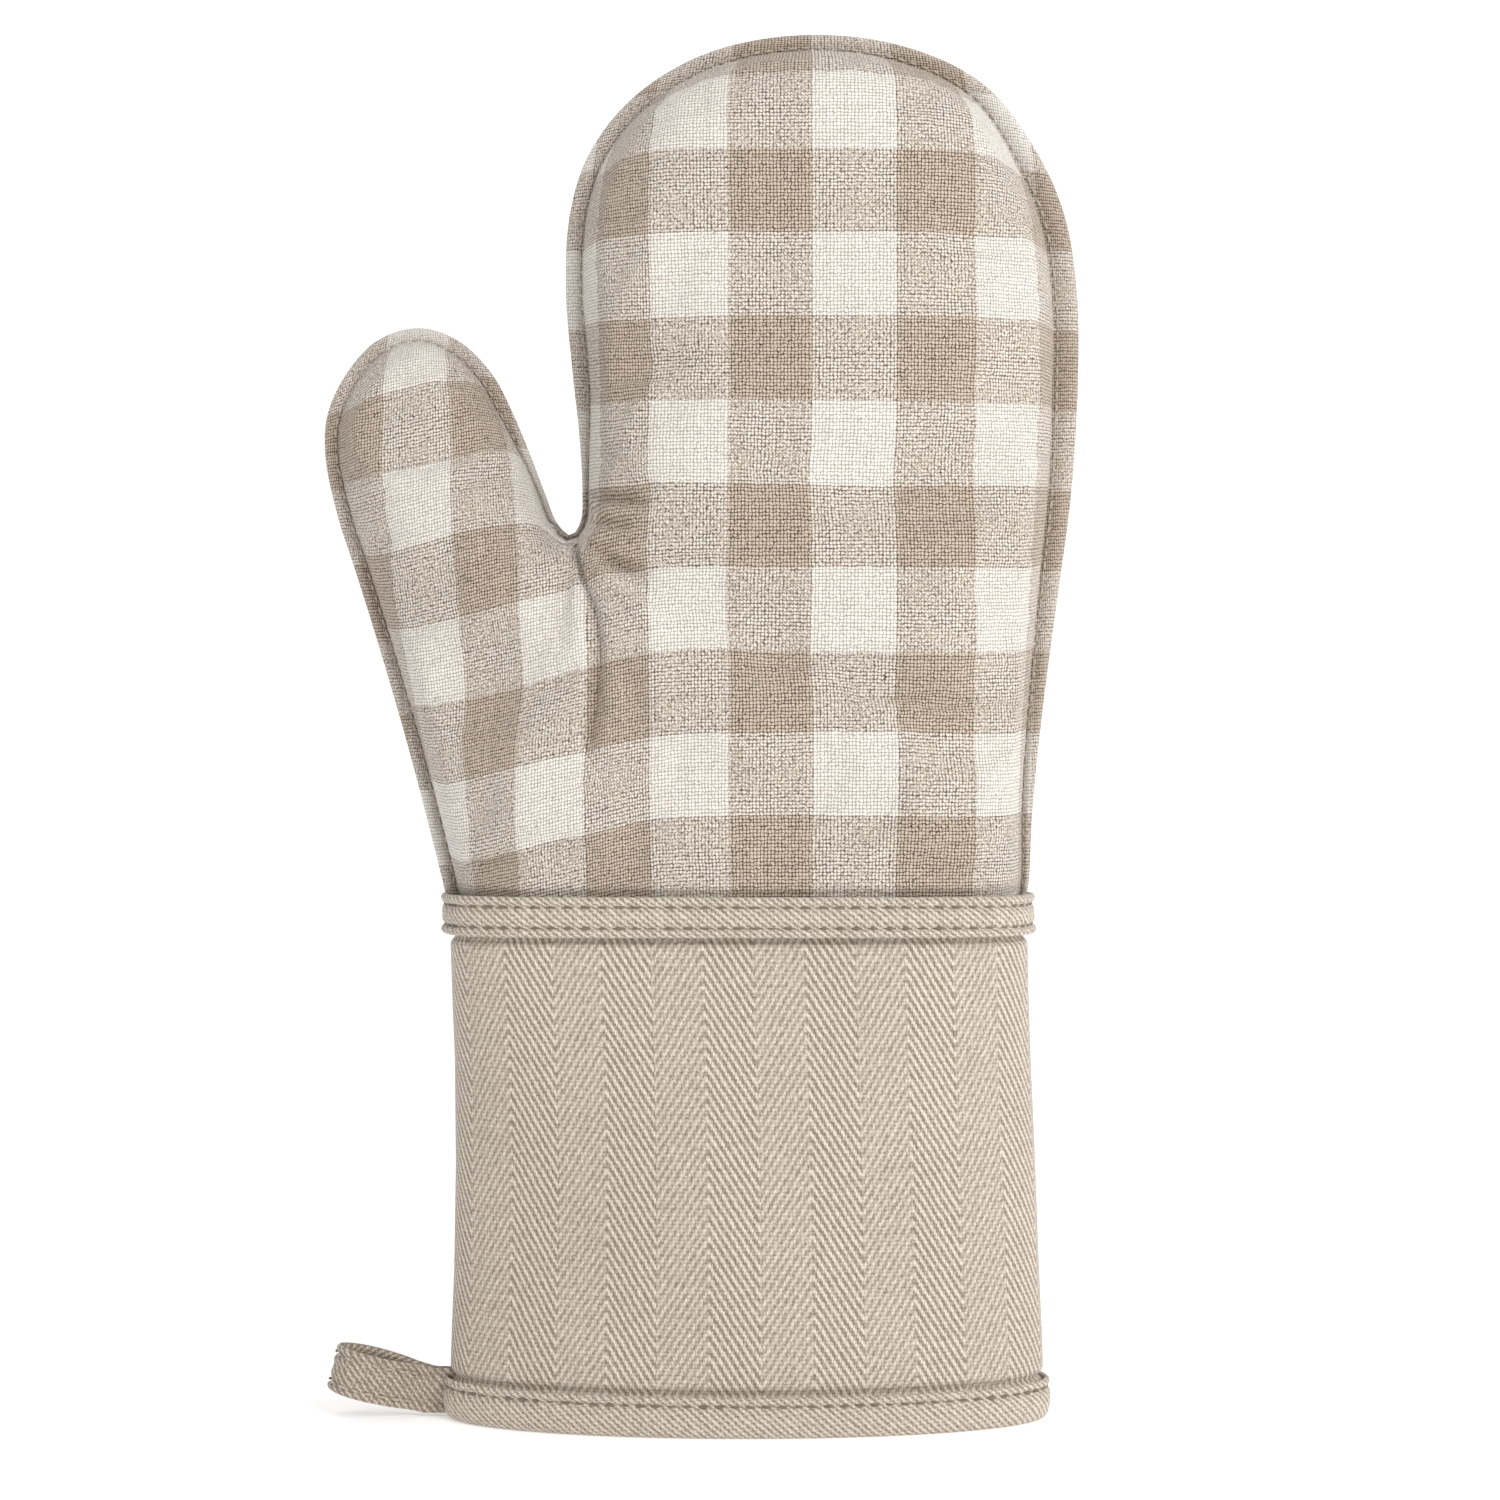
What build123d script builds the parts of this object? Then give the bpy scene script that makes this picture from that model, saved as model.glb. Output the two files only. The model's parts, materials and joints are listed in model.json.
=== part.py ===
"""Quilted oven mitt: a gingham hand with a thumb, a herringbone cuff and a hanging loop.

The mitt stands on its cuff. Its frame has +Z up along the hand, +X across the palm, away from the
thumb, and the palm faces -Y. The origin is the centre of the cuff's opening, in the plane of its rim.
Each wall is a sandwich of outer cloth, batting and lining, sewn front to back round a flat edge.
All sizes are in millimetres.
"""
from build123d import *
from math import cos, radians, sin
import os

# Driving dimensions of the whole mitt
HEIGHT = 330.0
RIM_HALF_WIDTH = 70.6
RIM_HALF_DEPTH = 28.0
WRIST_Z = 125.0
KNUCKLE_Z = 213.0
EDGE_WIDTH = 4.5
EDGE_HALF_THICKNESS = 2.2

# The layers of a wall, as depths below its outer surface. LAYER_GAP keeps neighbours apart.
LAYER_GAP = 0.1
HAND_LAYERS = {"shell": (0.0, 0.9), "batting": (1.0, 4.9), "lining": (5.0, 5.8)}
CUFF_LAYERS = {"shell": (0.0, 0.9), "batting": (1.0, 2.9), "lining": (3.0, 3.7)}
BODY_GAP = 0.4

# The hand without its thumb, from the wrist up: height, left edge, right edge, half depth
HAND_STATIONS = [
    (WRIST_Z + LAYER_GAP, -72.6, 67.2, 26.4),
    (150.0, -70.0, 68.8, 27.0),
    (180.0, -54.0, 72.4, 27.0),
    (206.0, -42.5, 76.0, 26.4),
    (222.0, -39.4, 78.0, 25.8),
    (240.0, -40.6, 79.0, 25.0),
]
TIP_Z = 255.0
TIP_CENTRE_X = 17.8
TIP_HALF_WIDTH = 61.4
TIP_HALF_DEPTH = 24.3
TIP_POWER = 2.45
TIP_STEPS = (0.0, 0.3, 0.52, 0.7, 0.84, 0.93, 0.98)

# The thumb, from inside the palm up to its tip
THUMB_STATIONS = [
    (130.0, -64.0, -14.0, 15.0),
    (150.0, -78.0, -20.0, 19.0),
    (172.0, -84.4, -27.0, 20.5),
    (196.5, -91.6, -36.0, 20.0),
    (215.5, -97.8, -45.8, 18.8),
]
THUMB_TIP_Z = 230.0
THUMB_TIP_CENTRE_X = -77.4
THUMB_TIP_HALF_WIDTH = 24.0
THUMB_TIP_HALF_DEPTH = 17.2
THUMB_TIP_TOP_Z = 259.3
THUMB_TIP_POWER = 1.9
THUMB_TIP_STEPS = (0.0, 0.35, 0.62, 0.82, 0.93, 0.98)

# The slot between thumb and hand
CROTCH = (-41.6, 210.6)
SLOT_X = -44.4
THUMB_TILT = 13.0

# Cuff, wrist band and hem
CUFF_CENTRE_TOP_X = -2.2
CUFF_STATIONS = [
    (1.3, 0.0, RIM_HALF_WIDTH, RIM_HALF_DEPTH),
    (10.0, 0.0, RIM_HALF_WIDTH, RIM_HALF_DEPTH),
    (60.0, -0.6, 69.2, 27.0),
    (WRIST_Z, CUFF_CENTRE_TOP_X, 69.0, 26.0),
]
BAND_BOTTOM_Z = 115.5
BAND_TOP_Z = 125.0
BAND_THICKNESS = 0.9
BAND_INNER = (69.5, 26.3)
HEM_HEIGHT = 9.5
HEM_THICKNESS = 1.2

# Hanging loop: a sewn tape, 11 wide, folded into a teardrop that rises away from the rim
LOOP_TAPE_WIDTH = 11.0
LOOP_TAPE_THICKNESS = 1.7
LOOP_LENGTH = 23.5
LOOP_HALF_WIDTH = 5.2
LOOP_TILT = 14.0
LOOP_BASE_Z = 0.8
LOOP_CLEARANCE = 1.0
LOOP_LEAN = LOOP_TAPE_WIDTH * sin(radians(LOOP_TILT))
HEM_HALF_WIDTH = RIM_HALF_WIDTH + LAYER_GAP + HEM_THICKNESS
LOOP_HINGE_X = -(HEM_HALF_WIDTH + LOOP_TAPE_THICKNESS + LOOP_CLEARANCE + LOOP_LEAN)

# Sewing thread
THREAD_THICKNESS = 0.4
THREAD_HEIGHT = 0.5
EDGE_THREAD_INSET = 3.0
EDGE_THREAD_START_Z = 150.0
FAR = 500.0


def ellipse_at(z, left, right, half_depth):
    """A level elliptical section between two edges."""
    return Pos((left + right) / 2, 0, z) * Ellipse((right - left) / 2, half_depth)


def edge_inset(z):
    """How far the padded body stays inside the outline: nothing at the wrist band, then the edge width."""
    share = min(1.0, max(0.0, (z - WRIST_Z - LAYER_GAP) / 25.0))
    return EDGE_WIDTH * share


def tip_section(share, centre_x, base_z, top_z, half_width, half_depth, power, depth_in_wall):
    """One section of a rounded tip; share runs from 0 at its base to 1 at its top."""
    shrink = (1 - share**power) ** (1 / power)
    inset = EDGE_WIDTH + depth_in_wall
    z = base_z + (top_z - inset - base_z) * share
    width = (half_width - inset) * shrink
    return Pos(centre_x, 0, z) * Ellipse(width, (half_depth - depth_in_wall) * shrink)


def body_sections(stations, depth_in_wall):
    """The sections of a padded tube, below its rounded tip."""
    return [
        ellipse_at(
            z,
            left + edge_inset(z) + depth_in_wall,
            right - edge_inset(z) - depth_in_wall,
            half_depth - depth_in_wall,
        )
        for z, left, right, half_depth in stations
    ]


def hand_volume(depth_in_wall):
    """The padded hand, filled, with its surface that far below the outer surface."""
    sections = body_sections(HAND_STATIONS, depth_in_wall)
    for share in TIP_STEPS:
        sections.append(
            tip_section(
                share, TIP_CENTRE_X, TIP_Z, HEIGHT, TIP_HALF_WIDTH, TIP_HALF_DEPTH, TIP_POWER, depth_in_wall
            )
        )
    return loft(sections)


def thumb_volume(depth_in_wall):
    """The padded thumb, filled. Its foot lies inside the palm."""
    sections = body_sections(THUMB_STATIONS, depth_in_wall)
    for share in THUMB_TIP_STEPS:
        sections.append(
            tip_section(
                share,
                THUMB_TIP_CENTRE_X,
                THUMB_TIP_Z,
                THUMB_TIP_TOP_Z,
                THUMB_TIP_HALF_WIDTH,
                THUMB_TIP_HALF_DEPTH,
                THUMB_TIP_POWER,
                depth_in_wall,
            )
        )
    return loft(sections)


def mitt_volume(depth_in_wall):
    """Hand and thumb together, filled."""
    return hand_volume(depth_in_wall) + thumb_volume(depth_in_wall)


def tip_outline(centre_x, base_z, top_z, half_width, power, inset, steps):
    """Points round a rounded tip, left to right, in the X-Z plane."""
    left = []
    for share in steps:
        shrink = (1 - share**power) ** (1 / power)
        left.append(((half_width - inset) * shrink, base_z + (top_z - inset - base_z) * share))
    points = [(centre_x - width, z) for width, z in left]
    points.append((centre_x, top_z - inset))
    points += [(centre_x + width, z) for width, z in reversed(left)]
    return points


def outline_points(inset):
    """The mitt's outline from the wrist, up the thumb, round the slot, over the hand and down to the wrist."""
    thumb_left = [(left + inset, z) for z, left, _, _ in THUMB_STATIONS[1:]]
    slot_left = [(-51.8 - inset, 230.0), (-46.6 - inset, 216.5)]
    slot_foot = [(CROTCH[0], CROTCH[1] - inset)]
    slot_right = [(-39.2 + inset, 218.0), (-40.6 + inset, 240.0)]
    hand_right = [(right - inset, z) for z, _, right, _ in reversed(HAND_STATIONS)]
    thumb_tip = tip_outline(
        THUMB_TIP_CENTRE_X, THUMB_TIP_Z, THUMB_TIP_TOP_Z, THUMB_TIP_HALF_WIDTH, THUMB_TIP_POWER, inset, (0.35, 0.72)
    )
    hand_tip = tip_outline(TIP_CENTRE_X, TIP_Z, HEIGHT, TIP_HALF_WIDTH, TIP_POWER, inset, (0.0, 0.5, 0.8, 0.95))
    wrist_left = [(-72.6 + inset, WRIST_Z + LAYER_GAP), (-74.7 + inset, 134.6)]
    return wrist_left + thumb_left + thumb_tip + slot_left + slot_foot + slot_right + hand_tip + hand_right


def outline_plate(inset, half_thickness):
    """A flat plate on the seam plane, that far inside the mitt's outline."""
    points = [(x, 0, z) for x, z in outline_points(inset)]
    border = Spline(*points)
    base = Line(points[-1], points[0])
    return extrude(make_face([border, base]), amount=half_thickness, both=True)


def layer_volume(depth_in_wall):
    """The whole hand that far below its outer surface, with what is left there of the flat edge."""
    volume = mitt_volume(depth_in_wall)
    if depth_in_wall < EDGE_HALF_THICKNESS:
        volume = volume + outline_plate(depth_in_wall, EDGE_HALF_THICKNESS - depth_in_wall)
    return volume


def half_space(side):
    """The front or the back half of space, clear of the seam plane."""
    middle = (FAR / 2 + LAYER_GAP / 2) * (-1 if side == "front" else 1)
    return Pos(0, middle, 0) * Box(2 * FAR, FAR, 2 * FAR)


def thumb_space(clearance):
    """Everything beyond the thumb's fold, left of the slot; a negative clearance makes it larger."""
    fold = Plane(
        origin=(CROTCH[0], 0, CROTCH[1]),
        x_dir=(cos(radians(THUMB_TILT)), 0, sin(radians(THUMB_TILT))),
        z_dir=(-sin(radians(THUMB_TILT)), 0, cos(radians(THUMB_TILT))),
    )
    beyond = fold * (Pos(0, 0, clearance + FAR / 2) * Box(2 * FAR, FAR, FAR))
    left_of_slot = Pos(SLOT_X - clearance - FAR / 2, 0, 0) * Box(FAR, FAR, 2 * FAR)
    return beyond & left_of_slot


def body_spaces():
    """The space of each flexing body. A fold line parts the palm from the fingers and from the thumb."""
    half_gap = BODY_GAP / 2
    fingers = Pos(SLOT_X + half_gap + FAR / 2, 0, KNUCKLE_Z + half_gap + FAR / 2) * Box(FAR, FAR, FAR)
    below = Pos(0, 0, KNUCKLE_Z - half_gap - FAR / 2) * Box(2 * FAR, FAR, FAR)
    palm = below - thumb_space(-half_gap)
    return {"palm": palm, "fingers": fingers, "thumb": thumb_space(half_gap)}


def hand_nodes():
    """Each layer of the hand, front and back, parted at the two fold lines."""
    nodes = {}
    spaces = body_spaces()
    for layer, (outer, inner) in HAND_LAYERS.items():
        wall = layer_volume(outer) - layer_volume(inner)
        for side in ("front", "back"):
            half = wall & half_space(side)
            for region, space in spaces.items():
                nodes[f"{region}_{side}_{layer}"] = half & space
    return nodes


def cuff_volume(depth_in_wall):
    """The cuff, filled, with its surface that far below the outer surface."""
    sections = [
        ellipse_at(z, x - half_width + depth_in_wall, x + half_width - depth_in_wall, depth - depth_in_wall)
        for z, x, half_width, depth in CUFF_STATIONS
    ]
    return loft(sections, ruled=True)


def cuff_nodes():
    """Each layer of the cuff, front and back."""
    nodes = {}
    for layer, (outer, inner) in CUFF_LAYERS.items():
        wall = cuff_volume(outer) - cuff_volume(inner)
        for side in ("front", "back"):
            nodes[f"cuff_{side}_{layer}"] = wall & half_space(side)
    return nodes


def elliptical_ring(centre_x, outer, inner, bottom, top):
    """An upright ring between two ellipses, each a pair of half axes."""
    ring = extrude(Ellipse(*outer) - Ellipse(*inner), amount=top - bottom)
    return Pos(centre_x, 0, bottom) * ring


def wrist_band():
    """The tape over the join of hand and cuff, front and back."""
    outer = (BAND_INNER[0] + BAND_THICKNESS, BAND_INNER[1] + BAND_THICKNESS)
    ring = elliptical_ring(CUFF_CENTRE_TOP_X, outer, BAND_INNER, BAND_BOTTOM_Z, BAND_TOP_Z)
    return {f"wrist_band_{side}": ring & half_space(side) for side in ("front", "back")}


def hem_binding():
    """The bias tape folded over the rim: a ring with a channel that the cuff's layers stand in."""
    lining_depth = CUFF_LAYERS["lining"][1]
    outside = LAYER_GAP + HEM_THICKNESS
    inside = lining_depth + LAYER_GAP + HEM_THICKNESS
    outer = (RIM_HALF_WIDTH + outside, RIM_HALF_DEPTH + outside)
    inner = (RIM_HALF_WIDTH - inside, RIM_HALF_DEPTH - inside)
    ring = elliptical_ring(0, outer, inner, 0, HEM_HEIGHT)
    channel_outer = (RIM_HALF_WIDTH + LAYER_GAP, RIM_HALF_DEPTH + LAYER_GAP)
    channel_inner = (RIM_HALF_WIDTH - lining_depth - LAYER_GAP, RIM_HALF_DEPTH - lining_depth - LAYER_GAP)
    channel = elliptical_ring(0, channel_outer, channel_inner, HEM_THICKNESS, HEM_HEIGHT + 1)
    return ring - channel


def loop_plane():
    """Where the loop is drawn: its origin on the fold line, +X back towards the rim, tilted up outwards."""
    tilt = radians(LOOP_TILT)
    return Plane(
        origin=(LOOP_HINGE_X, 0, LOOP_BASE_Z),
        x_dir=(cos(tilt), 0, -sin(tilt)),
        z_dir=(sin(tilt), 0, cos(tilt)),
    )


def teardrop(growth):
    """The loop's outline, grown all round: narrow where its ends are sewn, round at its far end."""
    half = LOOP_HALF_WIDTH + growth
    far_radius = 3.4 + growth
    far_x = -LOOP_LENGTH + 3.4
    upper = Spline((-4.0, 0.9 + growth), (-10.0, half - 0.6), (-15.5, half), (far_x, far_radius))
    far = ThreePointArc((far_x, far_radius), (far_x - far_radius, 0), (far_x, -far_radius))
    lower = Spline((far_x, -far_radius), (-15.5, -half), (-10.0, -half + 0.6), (-4.0, -0.9 - growth))
    close = Line((-4.0, -0.9 - growth), (-4.0, 0.9 + growth))
    return make_face([upper, far, lower, close])


def hanging_loop():
    """The folded tape, with both ends stacked in a round root on the fold line."""
    root = extrude(Circle(LOOP_TAPE_THICKNESS), amount=LOOP_TAPE_WIDTH)
    neck_half = 0.9 + LOOP_TAPE_THICKNESS / 2
    neck = Pos(-2.5, 0, LOOP_TAPE_WIDTH / 2) * Box(5.0, 2 * neck_half, LOOP_TAPE_WIDTH)
    growth = LOOP_TAPE_THICKNESS / 2
    tape = extrude(teardrop(growth) - teardrop(-growth), amount=LOOP_TAPE_WIDTH)
    return loop_plane() * (root + neck + tape)


def thread_ring(centre_x, half_width, half_depth, z):
    """A row of stitching round a level ellipse, as one thread lying just off its outside."""
    inner = (half_width + LAYER_GAP, half_depth + LAYER_GAP)
    outer = (inner[0] + THREAD_THICKNESS, inner[1] + THREAD_THICKNESS)
    return elliptical_ring(centre_x, outer, inner, z, z + THREAD_HEIGHT)


def edge_stitching():
    """The topstitching on both faces of the flat edge, one thread a face, shared out among the bodies."""
    near = EDGE_HALF_THICKNESS + LAYER_GAP
    far = near + THREAD_THICKNESS
    strip = outline_plate(EDGE_THREAD_INSET, far) - outline_plate(EDGE_THREAD_INSET + THREAD_HEIGHT, far + 1)
    strip = strip - Box(2 * FAR, 2 * near, 2 * FAR)
    strip = strip & (Pos(0, 0, EDGE_THREAD_START_Z + FAR / 2) * Box(2 * FAR, FAR, FAR))
    return {f"{region}_edge_stitching": strip & space for region, space in body_spaces().items()}


def loop_stitching():
    """Two threads round the outside of the loop's tape, near its two edges."""
    near = LOOP_TAPE_THICKNESS / 2 + LAYER_GAP
    band = extrude(teardrop(near + THREAD_THICKNESS) - teardrop(near), amount=THREAD_HEIGHT)
    upper = Pos(0, 0, LOOP_TAPE_WIDTH - 2.0 - THREAD_HEIGHT) * band
    lower = Pos(0, 0, 2.0) * band
    return loop_plane() * Compound(children=[upper, lower])


def build():
    """Every node of the mitt, by name."""
    nodes = hand_nodes() | cuff_nodes() | wrist_band()
    nodes["hem_binding"] = hem_binding()
    nodes["hanging_loop"] = hanging_loop()
    band_half = (BAND_INNER[0] + BAND_THICKNESS, BAND_INNER[1] + BAND_THICKNESS)
    nodes["band_upper_stitching"] = thread_ring(CUFF_CENTRE_TOP_X, *band_half, BAND_TOP_Z - 2.4)
    nodes["band_lower_stitching"] = thread_ring(CUFF_CENTRE_TOP_X, *band_half, BAND_BOTTOM_Z + 1.9)
    hem_half_depth = RIM_HALF_DEPTH + LAYER_GAP + HEM_THICKNESS
    nodes["hem_stitching"] = thread_ring(0, HEM_HALF_WIDTH, hem_half_depth, HEM_HEIGHT - 2.3)
    nodes |= edge_stitching()
    nodes["loop_stitching"] = loop_stitching()
    return nodes


os.makedirs("parts", exist_ok=True)
for name, shape in build().items():
    export_step(shape, f"parts/{name}.step")
    print(name, len(shape.solids()), round(shape.volume))
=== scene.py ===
"""Oven mitt: the looks of a padded gingham mitt with a herringbone cuff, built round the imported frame.

Design sizes are in millimetres, in the frame's own axes: +Z up the hand, +X away from the thumb, the
palm towards -Y. Lengths become metres where a mesh is made.
"""
import json
from math import cos, pi, radians, sin

import bpy
import numpy as np
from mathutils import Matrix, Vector
from mathutils.geometry import delaunay_2d_cdt


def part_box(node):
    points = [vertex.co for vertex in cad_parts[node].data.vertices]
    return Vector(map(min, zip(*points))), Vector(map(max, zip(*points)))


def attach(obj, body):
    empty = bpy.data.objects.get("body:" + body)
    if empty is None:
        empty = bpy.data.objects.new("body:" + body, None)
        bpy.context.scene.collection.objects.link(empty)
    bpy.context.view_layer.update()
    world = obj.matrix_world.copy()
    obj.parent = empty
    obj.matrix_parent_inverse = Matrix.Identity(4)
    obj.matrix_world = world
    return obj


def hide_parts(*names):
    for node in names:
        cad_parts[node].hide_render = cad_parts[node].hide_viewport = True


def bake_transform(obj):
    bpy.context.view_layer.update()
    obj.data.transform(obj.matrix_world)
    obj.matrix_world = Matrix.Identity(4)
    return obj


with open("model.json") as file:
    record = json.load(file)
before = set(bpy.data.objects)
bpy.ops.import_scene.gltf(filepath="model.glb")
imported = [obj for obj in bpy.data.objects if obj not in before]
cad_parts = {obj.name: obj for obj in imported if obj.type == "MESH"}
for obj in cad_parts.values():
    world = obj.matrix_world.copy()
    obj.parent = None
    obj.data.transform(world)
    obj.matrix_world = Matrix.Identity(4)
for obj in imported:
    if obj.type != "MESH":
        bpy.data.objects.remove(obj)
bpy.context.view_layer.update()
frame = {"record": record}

MM = 0.001
RANDOM = np.random.default_rng(7)

# Places taken from the frame, in millimetres
HEM_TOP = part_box("hem_binding")[1].z / MM
BAND_BOTTOM, BAND_TOP = (corner.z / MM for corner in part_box("wrist_band_front"))
JOINTS = {joint["name"]: joint for joint in frame["record"]["behaviour"]["joints"]}
LOOP_ORIGIN = [value / MM for value in JOINTS["loop_swing"]["pos_m"]]
LOOP_TILT = radians(14.0)

# Depths of the layers of a wall below its outer surface
HAND_LAYERS = {"cloth": (0.0, 0.9), "batting": (1.0, 4.9), "lining": (5.0, 5.8)}
CUFF_LAYERS = {"cloth": (0.0, 0.9), "batting": (1.0, 2.9), "lining": (3.0, 3.7)}
CAD_LAYER = {"cloth": "shell", "batting": "batting", "lining": "lining"}
PIECE_LAYER = {"cloth": "cloth", "batting": "filling", "lining": "inner_cloth"}

# The hand's outline in the seam plane: wrist, thumb, slot, fingers, wrist
HAND_FOOT_Z = BAND_TOP - 4.5
THUMB_CUT_Z = 211.5
SLOT_X = -42.3
OUTLINE = [
    (-70.4, HAND_FOOT_Z), (-72.2, 124.4), (-73.2, 128.5), (-77.1, 144.0), (-81.6, 161.0), (-88.0, 183.0),
    (-93.7, 201.3), (-98.4, 216.0), (-101.1, 229.8), (-100.5, 239.3), (-96.1, 248.8), (-88.6, 256.9),
    (-78.6, 259.9), (-69.0, 256.7), (-61.1, 248.8), (-56.1, 239.3), (-52.1, 229.8), (-48.3, 219.8),
    (-45.6, 213.2), (SLOT_X, 210.3), (-40.0, 213.6), (-39.6, 221.0), (-40.3, 234.0), (-42.0, 250.0),
    (-43.5, 268.0), (-42.6, 286.9), (-38.0, 301.5), (-26.9, 315.5), (-9.0, 325.9), (15.0, 330.0),
    (38.5, 326.9), (56.6, 318.0), (68.5, 303.0), (75.7, 286.9), (78.7, 267.9), (78.9, 246.0),
    (77.3, 220.3), (73.9, 194.5), (70.4, 168.0), (68.0, 144.2), (67.2, 128.0), (66.6, 124.4),
    (65.4, HAND_FOOT_Z),
]
EDGE_STEP = 1.8
CELL = 2.3
RING_SHARES = (0.06, 0.2, 0.38, 0.56, 0.74, 0.9, 1.0, 1.015, 1.05, 1.12, 1.25, 1.45, 1.75)
EDGE_HEIGHT = 2.1
GROOVE_HEIGHT = 1.2
PAD_HEIGHT = 27.0
PAD_SOFTNESS = 19.0
SHOULDER = 8.0
NEAR_EDGE = 6.0
LEAST_HEIGHT = 0.03
MOST_MOVED = 2.5
WALL_DEPTHS = 18.0 * np.linspace(0, 1, 37) ** 2

# Creases pressed into the front: points along each, depth (negative stands up) and half width
CREASES = [
    ([(-41.8, 211.0), (-40.0, 205.0), (-36.8, 196.0)], 3.4, 1.1),
    ([(-37.4, 198.0), (-34.8, 186.0), (-35.0, 173.0), (-37.0, 158.0)], 4.0, 2.1),
    ([(-40.0, 206.0), (-42.5, 196.0), (-44.0, 184.0)], 1.2, 2.2),
    ([(-38.5, 218.9), (-30.0, 217.6), (-22.5, 216.6)], 3.4, 1.5),
    ([(-36.5, 212.5), (-30.0, 211.0), (-24.5, 210.2)], 2.4, 1.3),
    ([(-34.8, 204.4), (-28.0, 201.2), (-22.0, 199.4)], 3.0, 1.6),
    ([(-34.6, 200.6), (-27.5, 194.0), (-20.5, 187.6)], -2.4, 1.8),
    ([(-30.5, 183.0), (-26.0, 174.0), (-24.0, 160.0)], 1.4, 2.6),
    ([(-68.5, 131.0), (-61.0, 132.6), (-54.0, 133.6)], 1.5, 1.6),
]

# The gingham: where the columns' edges fall across the hand, and the size of a check
CHECK = 19.05
ROW = 19.2
ROW_ZERO_Z = 259.0
COLUMN_EDGES_X = (-101.5, -84.2, -68.4, -53.6, -37.4, -22.2, -4.1, 15.0, 34.2, 52.6, 69.0, 80.0)
COLUMN_EDGES_U = tuple(CHECK * step for step in (-7, -6, -5, -4, -3, -2, -1, 0, 1, 2, 3, 3.8))
ROW_DROP = 0.25
ROW_DROP_X = -22.0

# The cuff's left and right edges by height
CUFF_Z = (0.0, 9.5, 20.0, 35.0, 60.0, 85.0, 100.0, 115.0, 125.0)
CUFF_LEFT = (-71.0, -71.1, -70.8, -70.2, -69.8, -70.0, -70.6, -71.1, -71.2)
CUFF_RIGHT = (70.4, 70.6, 70.3, 69.6, 68.7, 67.6, 67.1, 66.8, 66.4)
CUFF_DEPTH_LOW = 27.8
CUFF_FOOT_Z = 1.4
CUFF_TOP_Z = HAND_FOOT_Z - 0.3
CUFF_HALVES = (("front", -pi), ("back", 0.0))
CUFF_STEPS_ROUND = 96
CUFF_STEPS_UP = 56

# The stitch rows: heights and pitches on the tapes, share of the roll's width and height off the seam plane
HEM_ROW_Z = HEM_TOP - 2.0
HEM_PITCH = 3.6
BAND_ROWS_Z = (BAND_TOP - 2.4, BAND_BOTTOM + 2.2)
BAND_PITCH = 3.9
EDGE_ROW_SHARE = 0.84
EDGE_ROW_HEIGHT = 1.62
EDGE_PITCH = 2.9

# The hanging tape, seen from above in its own axes: from the seam round and back
LOOP_WIDTH = 11.0
LOOP_THICKNESS = 1.7
LOOP_STEP = 0.8
LOOP_ROUTE = [
    (6.3, 0.95), (2.0, 0.95), (-3.0, 1.5), (-9.5, 4.6), (-15.5, 5.6), (-20.1, 4.2), (-23.2, 0.0),
    (-20.3, -4.3), (-15.5, -5.5), (-9.5, -4.4), (-3.0, -1.3), (2.0, -0.95), (6.3, -0.95),
]


def smooth_step(value):
    value = np.clip(value, 0.0, 1.0)
    return value * value * (3 - 2 * value)


def spline_through(points, step, closed=False):
    """Points every step along a smooth curve through the given ones (centripetal Catmull-Rom)."""
    pts = np.array(points, float)
    first = pts[-1] if closed else 2 * pts[0] - pts[1]
    last = [pts[0], pts[1]] if closed else [2 * pts[-1] - pts[-2]]
    padded = np.vstack([first, pts, *last])
    dense = []
    for a, b, c, d in zip(padded, padded[1:], padded[2:], padded[3:]):
        gaps = [max(1e-6, np.linalg.norm(q - p)) ** 0.5 for p, q in ((a, b), (b, c), (c, d))]
        knots = np.cumsum([0] + gaps)
        t = np.linspace(knots[1], knots[2], 24, endpoint=False)[:, None]
        t0, t1, t2, t3 = knots
        a1 = (t1 - t) / (t1 - t0) * a + (t - t0) / (t1 - t0) * b
        a2 = (t2 - t) / (t2 - t1) * b + (t - t1) / (t2 - t1) * c
        a3 = (t3 - t) / (t3 - t2) * c + (t - t2) / (t3 - t2) * d
        b1 = (t2 - t) / (t2 - t0) * a1 + (t - t0) / (t2 - t0) * a2
        b2 = (t3 - t) / (t3 - t1) * a2 + (t - t1) / (t3 - t1) * a3
        dense.append((t2 - t) / (t2 - t1) * b1 + (t - t1) / (t2 - t1) * b2)
    dense = np.vstack(dense + [pts[:1] if closed else pts[-1:]])
    along = distance_along(dense)
    count = max(3, int(round(along[-1] / step)))
    at = np.linspace(0, along[-1], count + 1)
    return np.column_stack([np.interp(at, along, dense[:, k]) for k in range(dense.shape[1])])


def lengths(vectors):
    return np.linalg.norm(vectors, axis=1)


def unit(vectors):
    """The vectors, each divided by its length."""
    return vectors / lengths(vectors)[:, None]


def distance_along(line):
    """Distance from the line's start to each of its points."""
    return np.concatenate([[0], np.cumsum(lengths(np.diff(line, axis=0)))])


def nearest_on_line(points, line):
    """Distance from each point to a polyline, and the place along it as a fractional index."""
    best = np.full(len(points), 1e9)
    place = np.zeros(len(points))
    for i, (p, q) in enumerate(zip(line, line[1:])):
        pq = q - p
        share = np.clip(((points - p) @ pq) / (pq @ pq), 0, 1)
        distance = lengths(points - p - share[:, None] * pq)
        closer = distance < best
        best[closer] = distance[closer]
        place[closer] = i + share[closer]
    return best, place


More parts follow.
